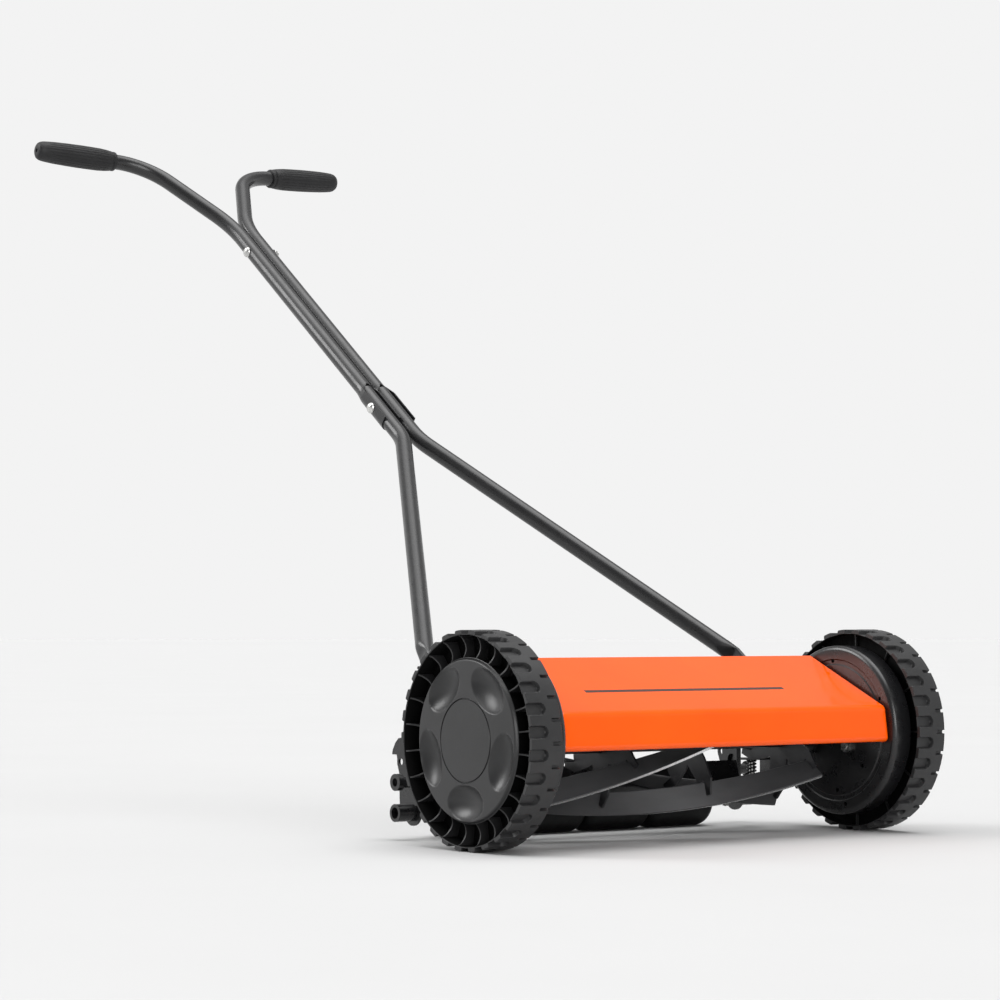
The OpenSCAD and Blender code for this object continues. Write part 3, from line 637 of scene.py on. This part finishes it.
# The lower tube: flattened at its pivot, slanting in along LOW_LINE, then straight up to LOW_TOP
PIVOT_S, TANG_X, TANG_HALF_T, TANG_HALF_W = -86.0, 243.5, 3.0, 13.0
TANG_SQUARE = 0.35  # the power that squares the flattened section; 1 is a circle
TANG_LONG, CRIMP_LONG = 22, 22
LOW_LINE, LOW_TURN, LOW_TOP = 226.9, 26.0, 552.0
JOIN_X, JOIN_BEND_R = 12.65, 80.0
# The upper tube: a clasp, a straight, a slow bend outwards, a straight, then round to the grip
UP_X, CLASP_LOW, CLASP_T, CLASP_LEG = 11.2, 478.0, 1.5, 9.5
UP_BEND_S, UP_TURN, UP_BEND_R, UP_RUN = 989.5, 24.0, 172.0, 177.9
END_TURN, END_BEND_R = 61.8, 82.0
END_CORNER = (UP_X + UP_RUN * math.sin(math.radians(UP_TURN)),
              UP_BEND_S + UP_RUN * math.cos(math.radians(UP_TURN)))
GRIP_L, GRIP_INSET, GRIP_R = 124.0, 3.0, 14.2
GRIP_FLUTES, FLUTE_DEEP = 24, 0.55


def on_handle(x, s, up):
    """A point on the sloping plane of the handle: across, up the slope, and square to it."""
    return (x, HANDLE_Y + s * math.cos(SLOPE) - up * math.sin(SLOPE),
            HANDLE_Z + s * math.sin(SLOPE) + up * math.cos(SLOPE))


def bend(vertex, heading, turn, radius, steps):
    """Stations (x, s, heading) round a bend of the tube, headings in degrees towards +X."""
    h, side = math.radians(heading), math.copysign(1, turn)
    run = radius * math.tan(math.radians(abs(turn)) / 2)
    x, s = vertex[0] - run * math.sin(h), vertex[1] - run * math.cos(h)
    cx, cs = x + side * radius * math.cos(h), s - side * radius * math.sin(h)
    made = []
    for k in range(steps + 1):
        a = math.radians(heading + turn * k / steps)
        made.append((cx - side * radius * math.cos(a), cs + side * radius * math.sin(a), math.degrees(a)))
    return made


def section(station, shape):
    """A ring of points square to the tube at a station; shape lists (across, up) offsets."""
    x, s, heading = station
    h = math.radians(heading)
    return [on_handle(x + across * math.cos(h), s - across * math.sin(h), up) for across, up in shape]


def squashed(half_w, half_t, power):
    """A ring between a circle and a flat bar: half_t across, half_w up."""
    ring = []
    for k in range(TUBE_AROUND):
        a = math.tau * k / TUBE_AROUND
        c, s = math.cos(a), math.sin(a)
        ring.append((half_t * math.copysign(abs(c) ** power, c), half_w * math.copysign(abs(s) ** power, s)))
    return ring


def lower_tube(side):
    """The lower tube, crimped flat with a rounded end where it pivots on the side plate."""
    slant = math.tan(math.radians(LOW_TURN))
    flat_s = (LOW_LINE - TANG_X) / slant
    round_s = flat_s + CRIMP_LONG
    rows = []
    for k in range(9):
        angle = math.pi / 2 * (1 - k / 8)
        s = PIVOT_S - TANG_HALF_W * math.sin(angle)
        half = max(TANG_HALF_W * math.cos(angle), 0.4)
        rows.append(section((TANG_X, s, 0), squashed(half, TANG_HALF_T, TANG_SQUARE)))
    for k in range(7):
        s = PIVOT_S + 10 + TANG_LONG * k / 6
        half = TANG_HALF_W + (TUBE_R - TANG_HALF_W) * smoothstep(0, 6, k)
        rows.append(section((TANG_X, s, 0), squashed(half, TANG_HALF_T, TANG_SQUARE)))
    for k in range(13):
        share = smoothstep(0, 12, k)
        s = flat_s + (round_s - flat_s) * k / 12
        half = TANG_HALF_T + (TUBE_R - TANG_HALF_T) * share
        ring = squashed(TUBE_R, half, TANG_SQUARE + (1 - TANG_SQUARE) * share)
        rows.append(section((LOW_LINE - slant * s, s, -LOW_TURN * smoothstep(0, 4, k)), ring))
    stations = bend((JOIN_X, (LOW_LINE - JOIN_X) / slant), -LOW_TURN, LOW_TURN, JOIN_BEND_R, 14)
    stations.append((JOIN_X, LOW_TOP, 0))
    circle = squashed(TUBE_R, TUBE_R, 1.0)
    rows += [section(station, circle) for station in stations]
    mesh = Mesh()
    mesh.grid(rows, wrap_cols=True)
    mesh.close_tube(0, TUBE_AROUND)
    mesh.verts = mirrored(mesh.verts, side)
    node = "handle_lower_" + SIDES[side]
    return mesh.piece(node + "_tube", "handle", [TUBE_PAINT], "black_paint", [node])


def clasp_shape(open_share, outward):
    """An open ring: a full circle at 0, a U with straight legs at 1. outward is the skin's offset."""
    count, ring = 36, []
    run = math.pi / 2 * TUBE_R
    closed_r, r = TUBE_R - CLASP_T + outward, TUBE_R + outward
    for k in range(count + 1):
        t = k / count * 2 - 1
        a = math.pi * t
        round_p = (-closed_r * math.sin(a), -closed_r * math.cos(a))
        w = abs(t) * (run + CLASP_LEG)
        if w < run:
            b = w / run * math.pi / 2
            u = (r * math.sin(b), -r * math.cos(b))
        else:
            u = (r, w - run)
        u = (-math.copysign(1, t) * u[0], u[1])
        ring.append((round_p[0] * (1 - open_share) + u[0] * open_share,
                     round_p[1] * (1 - open_share) + u[1] * open_share))
    return ring


def upper_tube(side):
    """The upper tube, whose lower end is opened into a U that clasps the lower tube."""
    mesh = Mesh()
    rows = []
    places = [(CLASP_LOW, 1.0), (CLASP_LOW + 1, 1.0), (LOW_TOP - 14, 1.0)]
    places += [(LOW_TOP - 14 + 26 * k / 10, 1 - smoothstep(0, 1, k / 10)) for k in range(1, 11)]
    for s, share in places:
        x = UP_X + (JOIN_X - UP_X) * share
        outer = section((x, s, 0), clasp_shape(share, CLASP_T))
        inner = section((x, s, 0), clasp_shape(share, 0.0))
        rows.append(outer + list(reversed(inner)))
    mesh.grid(rows, wrap_cols=True)
    mesh.close_sheet(len(rows), len(rows[0]))
    stations = [(UP_X, LOW_TOP + 6, 0)] + bend((UP_X, UP_BEND_S), 0, UP_TURN, UP_BEND_R, 16)
    stations += bend(END_CORNER, UP_TURN, END_TURN, END_BEND_R, 28)
    x, s, heading = stations[-1]
    h = math.radians(heading)
    far = GRIP_INSET + GRIP_L - 6
    stations.append((x + far * math.sin(h), s + far * math.cos(h), heading))
    circle = squashed(TUBE_R, TUBE_R, 1.0)
    start = len(mesh.verts)
    mesh.grid([section(station, circle) for station in stations], wrap_cols=True)
    mesh.close_tube(start, TUBE_AROUND)
    mesh.verts = mirrored(mesh.verts, side)
    node = "handle_upper_" + SIDES[side]
    return mesh.piece(node + "_tube", "handle", [TUBE_PAINT], "black_paint", [node])


# The grip's profile: how far along it, and how much wider than GRIP_R
GRIP_FORM = [(0, -1.4), (0.3, -0.5), (1.2, 0), (4, 0), (5, -0.9), (6, -0.9), (7, 0.4), (14, 1.4), (25, 2.3),
             (40, 2.55), (58, 2.6), (77, 2.3), (96, 1.7), (108, 0.9), (115, 0.2), (119, -0.8), (122, -2.6),
             (GRIP_L - 0.4, -5.2), (GRIP_L, -7.4)]


def grip(side):
    """A moulded grip: a collar, a swelling body with fine flutes, and a rounded end with a small hole."""
    x0, s0, heading = bend(END_CORNER, UP_TURN, END_TURN, END_BEND_R, 1)[-1]
    h = math.radians(heading)
    around, rows, form = 192, [], []
    for (d0, r0), (d1, r1) in zip(GRIP_FORM, GRIP_FORM[1:]):
        steps = max(1, int((d1 - d0) / 3))
        form += [(d0 + (d1 - d0) * k / steps, r0 + (r1 - r0) * k / steps) for k in range(steps)]
    form.append(GRIP_FORM[-1])

    def ring(d, radii):
        x, s = x0 + (GRIP_INSET + d) * math.sin(h), s0 + (GRIP_INSET + d) * math.cos(h)
        shape = [(r * math.cos(math.tau * k / around), r * math.sin(math.tau * k / around))
                 for k, r in enumerate(radii)]
        return section((x, s, heading), shape)

    for d, extra in form:
        depth = FLUTE_DEEP * smoothstep(9, 16, d) * (1 - smoothstep(104, 113, d))
        radii = []
        for k in range(around):
            groove = max(0.0, math.cos(GRIP_FLUTES * math.tau * k / around)) ** 3
            radii.append(GRIP_R + extra - depth * groove)
        rows.append(ring(d, radii))
    for r, d in ((3.2, GRIP_L), (2.8, GRIP_L - 0.4), (2.8, GRIP_L - 4.5), (0.05, GRIP_L - 4.5)):
        rows.append(ring(d, [r] * around))
    rows.append(ring(0.4, [0.05] * around))
    rows.append(ring(0.0, [TUBE_R - 0.2] * around))
    mesh = Mesh()
    mesh.grid(rows, wrap_rows=True, wrap_cols=True)
    mesh.verts = mirrored(mesh.verts, side)
    node = "grip_" + SIDES[side]
    return mesh.piece(node + "_sleeve", "handle", [GRIP_RUBBER], "grip_rubber", [node], smooth=40)


# ---------- reel ----------

BLADES, BLADE_PITCH = 5, 72
BLADE_TURN, BLADE_PHASE = 92.4, 257.0
# A blade's section: radius and angle in degrees, with the faces that are ground bright
BLADE_FORM = [(81.2, 0.0), (81.2, -2.1), (80.2, -2.75), (66.5, -5.1), (54.0, -9.0), (53.0, -8.4),
              (53.2, -6.0), (66.5, -2.75), (79.6, -0.55)]
EDGE_FACES = (0, 8)


def blade(number):
    """One helical blade: bright where its cutting edge is ground."""
    steps, rows = 150, []
    for k in range(steps + 1):
        x = -REEL_HALF + 2 * REEL_HALF * k / steps
        phase = BLADE_PHASE + BLADE_PITCH * (number - 1) - BLADE_TURN * x / (2 * REEL_HALF)
        form = [(r, math.radians(phase + lag)) for r, lag in BLADE_FORM]
        rows.append([(x, REEL_Y + r * math.cos(a), REEL_Z + r * math.sin(a)) for r, a in form])
    mesh = Mesh()
    n = len(BLADE_FORM)
    mesh.grid(rows, wrap_cols=True, slot=[int(j in EDGE_FACES) for j in range(n)] * steps)
    mesh.close_tube(0, n)
    node = f"reel_blade_{number}"
    return mesh.piece(f"blade_{number}_strip", "reel", [BLADE_STEEL, GROUND_EDGE], "blade_steel", [node],
                      smooth=25)


# ---------- roller ----------

ROLLERS = 4
ROLLER_ROUND, ROLLER_BORE, SLEEVE_R = 13.0, 6.66, 11.5


def arc_points(r, x, size, start, end, steps):
    """Lathe points round a corner: (radius, x)."""
    return [(r + size * math.cos(math.radians(start + (end - start) * k / steps)),
             x + size * math.sin(math.radians(start + (end - start) * k / steps))) for k in range(steps + 1)]


def roller(number):
    """One hollow roller section with rounded shoulders, on a sleeve round the axle."""
    node = f"roller_section_{number}"
    low, high = span(node, 0)
    bottom, top = span(node, 2)
    shoulder = (top - bottom) / 2 - ROLLER_ROUND
    profile = [(ROLLER_BORE, low + 0.4), (SLEEVE_R - 0.5, low), (SLEEVE_R, low + 0.5), (SLEEVE_R, high - 6),
               (shoulder, high - 6)]
    profile += arc_points(shoulder, low + ROLLER_ROUND, ROLLER_ROUND, -90, 0, 14)
    profile += arc_points(shoulder, high - ROLLER_ROUND, ROLLER_ROUND, 0, 90, 14)
    profile += [(14, high), (13.4, high - 0.8), (ROLLER_BORE, high - 0.8)]
    mesh = Mesh()
    mesh.lathe(profile, (ROLLER_Y, ROLLER_Z), 128)
    return mesh.piece(f"roller_{number}_moulding", f"roller_{number}", [ROLLER_PLASTIC], "roller_plastic",
                      [node], smooth=30)


# ---------- springs ----------

WIRE_R, COIL_R, COIL_TURNS, END_COIL = 1.1, 5.4, 6.5, 0.7


def springs():
    """The two adjuster springs, wound from round wire, with their end turns close together."""
    low_corner, high_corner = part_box("adjuster_springs")
    z0, z1 = low_corner.z / MM + WIRE_R, high_corner.z / MM - WIRE_R
    y = (low_corner.y + high_corner.y) / 2 / MM
    x = high_corner.x / MM - COIL_R - WIRE_R
    per_turn, ring = 36, 12
    rows = []
    for k in range(int(COIL_TURNS * per_turn) + 1):
        t = k / per_turn
        even = min(max((t - END_COIL) / (COIL_TURNS - 2 * END_COIL), 0), 1)
        cz = z0 + (z1 - z0) * (smoothstep(0, 1, t / COIL_TURNS) * 0.35 + 0.65 * even)
        a = math.tau * t
        row = []
        for j in range(ring):
            b = math.tau * j / ring
            r = COIL_R + WIRE_R * math.cos(b)
            row.append((x + r * math.cos(a), y + r * math.sin(a), cz + WIRE_R * math.sin(b)))
        rows.append(row)
    mesh = Mesh()
    for side in SIDES:
        start = len(mesh.verts)
        mesh.grid([mirrored(row, side) for row in rows], wrap_cols=True)
        mesh.close_tube(start, ring)
    return mesh.piece("adjuster_spring_coils", "chassis", [DARK_STEEL], "dark_steel", ["adjuster_springs"])


# ---------- bolts through the handle ----------

SHANK_R, NUT_R, NUT_T, NUT_FLANGE = 4, 6.4, 3.6, 1.2


def handle_fasteners():
    """Domed carriage bolts and flanged lock nuts across the two pairs of tubes."""
    bolts, nuts = Mesh(), Mesh()
    for s, half in zip(BOLT_S, (JOIN_X + TUBE_R + CLASP_T, UP_X + TUBE_R)):
        _, y, z = on_handle(0, s, 0)
        bolts.lathe([(0.05, -half - 4), (3, -half - 3.9), (5.6, -half - 3), (7.1, -half - 1.5), (7.5, -half),
                     (SHANK_R, -half), (SHANK_R, half + 7.2), (3.3, half + 8), (0.05, half + 8)], (y, z), 48)
        for r, x0, x1 in ((7.2, half, half + NUT_FLANGE), (5.4, half + 4.6, half + 6.4)):
            nuts.lathe([(SHANK_R, x0), (r, x0), (r, x1 - 0.3), (r - 0.4, x1), (SHANK_R, x1)], (y, z), 48)
        corners = [math.radians(a) for a in range(10, 370, 60)]
        hexagon = [(NUT_R * math.cos(a), NUT_R * math.sin(a)) for a in corners]
        nuts.prism(hexagon, lambda p, t, y=y, z=z, x=half: (x + NUT_FLANGE + t, y + p[0], z + p[1]), NUT_T)
    return (bolts.piece("handle_carriage_bolts", "handle", [ZINC], "zinc", ["handle_bolts"]),
            nuts.piece("handle_lock_nuts", "handle", [ZINC], "zinc", ["handle_nuts"], bevel=0.3))


# ---------- pieces that stay as the frame has them ----------

PRESSED = ("side_plate_left", "side_plate_right", "rear_bracket", "roller_bracket", "cutter_bar", "bed_knife",
           "reel_spider", "height_knob_left", "height_knob_right")
PRESSED_EDGE = 0.5


def finish_nodes(replaced):
    """Gives every node that is still shown its material, and the pressed ones rounded edges."""
    slots = {row["node"]: row["material_slot"] for row in frame["record"]["subparts"]}
    for name, node in frame["nodes"].items():
        if name in replaced:
            continue
        material = NODE_MATERIALS[slots[name]]
        if name.startswith("reel_spider"):
            material = SPIDER_PAINT
        if not node.material_slots:
            node.data.materials.append(material)
        for place in node.material_slots:
            place.material = material
        if name.startswith(PRESSED):
            soften(node, PRESSED_EDGE, angle=50)


# ---------- studio ----------

CAMERA_FROM_AXLE = Vector((-2.2343, -2.6160, 0.1270))  # metres
CAMERA_YAW, CAMERA_PITCH = 36.951, 2.51
CAMERA_LENS, SENSOR, CLIP_END = 104.27, 36.0, 60.0
FLOOR_HALF = 200.0  # metres

# How bright the backdrop is by the floor and above it, and the softbox overhead, with the heights they change at
BACKDROP, UPPER, OVERHEAD = 0.896, 0.45, 1.8
HEIGHTS = ((0.30, BACKDROP), (0.46, UPPER), (0.78, UPPER), (0.86, OVERHEAD))
# Light from in front of the machine is dimmer: the share of it, and where along BACK it starts and ends
BACK, FRONT_SHARE, DIM_FROM, DIM_TO = (0.601, 0.799, 1.2), 0.35, -0.1, 0.35
# Each light: the way to it, its strength and its angular size in degrees
SUNS = {
    "key": ((-0.62, 0.58, 0.55), 1.50, 30),
    "top": ((0.10, -0.15, 1.0), 1.22, 50),
    "front": ((-0.30, -0.95, 0.22), 1.40, 36),
}


def sky():
    """A pale backdrop that meets the floor, a softbox overhead, and less light from in front."""
    world = bpy.data.worlds.new("studio")
    world.use_nodes = True
    nodes, links = world.node_tree.nodes, world.node_tree.links
    coords = nodes.new("ShaderNodeTexCoord")
    split = nodes.new("ShaderNodeSeparateXYZ")
    links.new(coords.outputs["Generated"], split.inputs["Vector"])
    ramp = nodes.new("ShaderNodeValToRGB")
    stops = ramp.color_ramp.elements
    stops[0].position, stops[1].position = HEIGHTS[0][0], HEIGHTS[1][0]
    for k, (height, glow) in enumerate(HEIGHTS):
        stop = stops[k] if k < 2 else stops.new(height)
        stop.color = (glow, glow, glow, 1)
    links.new(split.outputs["Z"], ramp.inputs["Fac"])

    towards_back = nodes.new("ShaderNodeVectorMath")
    towards_back.operation = "DOT_PRODUCT"
    towards_back.inputs[1].default_value = BACK
    links.new(coords.outputs["Generated"], towards_back.inputs[0])
    share = nodes.new("ShaderNodeMapRange")
    share.inputs["From Min"].default_value = DIM_FROM
    share.inputs["From Max"].default_value = DIM_TO
    share.inputs["To Min"].default_value = FRONT_SHARE
    links.new(towards_back.outputs["Value"], share.inputs["Value"])
    links.new(ramp.outputs["Color"], nodes["Background"].inputs["Color"])
    links.new(share.outputs["Result"], nodes["Background"].inputs["Strength"])

    # Looked at directly, the backdrop is the same plain pale tone all round
    plain = nodes.new("ShaderNodeBackground")
    plain.inputs["Color"].default_value = (BACKDROP, BACKDROP, BACKDROP, 1)
    seen = nodes.new("ShaderNodeLightPath")
    choose = nodes.new("ShaderNodeMixShader")
    links.new(seen.outputs["Is Camera Ray"], choose.inputs["Fac"])
    links.new(nodes["Background"].outputs["Background"], choose.inputs[1])
    links.new(plain.outputs["Background"], choose.inputs[2])
    links.new(choose.outputs["Shader"], nodes["World Output"].inputs["Surface"])
    return world


def studio():
    """The camera, the backdrop, the floor and three soft lights."""
    scene = bpy.context.scene
    scene.view_settings.view_transform = "Standard"
    yaw, pitch = math.radians(CAMERA_YAW), math.radians(CAMERA_PITCH)
    data = bpy.data.cameras.new("camera")
    data.lens, data.sensor_width, data.clip_end = CAMERA_LENS, SENSOR, CLIP_END
    camera = bpy.data.objects.new("camera", data)
    camera.location = Vector((0, AXLE_Y * MM, AXLE_Z * MM)) + CAMERA_FROM_AXLE
    camera.rotation_euler = (math.pi / 2 + pitch, 0, -yaw)
    scene.collection.objects.link(camera)
    scene.camera = camera

    scene.world = sky()

    floor_mesh = bpy.data.meshes.new("floor")
    corners = [(x * FLOOR_HALF, y * FLOOR_HALF, 0) for x, y in ((-1, -1), (1, -1), (1, 1), (-1, 1))]
    floor_mesh.from_pydata(corners, [], [(0, 1, 2, 3)])
    floor = bpy.data.objects.new("floor", floor_mesh)
    floor_paint = surface("studio_floor", (0.545, 0.545, 0.545), (0.555, 0.555, 0.555), 0.6, 0.02,
                          blotch=2, grain=60, grain_depth=0.02, Specular_IOR_Level=0.0)
    floor_mesh.materials.append(floor_paint)
    scene.collection.objects.link(floor)

    for name, (towards, power, softness) in SUNS.items():
        light = bpy.data.lights.new(name, "SUN")
        light.energy, light.angle = power, math.radians(softness)
        made = bpy.data.objects.new(name, light)
        made.rotation_euler = Vector(towards).to_track_quat("Z", "Y").to_euler()
        scene.collection.objects.link(made)


studio()
for hand in SIDES:
    wheel(hand)
    hub_cap(hand)
    lower_tube(hand)
    upper_tube(hand)
    grip(hand)
cover()
for number in range(1, BLADES + 1):
    blade(number)
for number in range(1, ROLLERS + 1):
    roller(number)
springs()
handle_fasteners()
REPLACED = {"front_cover", "adjuster_springs", "handle_bolts", "handle_nuts"}
REPLACED |= {f"{part}_{hand}" for part in ("wheel", "hub_cap", "handle_lower", "handle_upper", "grip")
             for hand in SIDES.values()}
REPLACED |= {f"reel_blade_{number}" for number in range(1, BLADES + 1)}
REPLACED |= {f"roller_section_{number}" for number in range(1, ROLLERS + 1)}
finish_nodes(REPLACED)
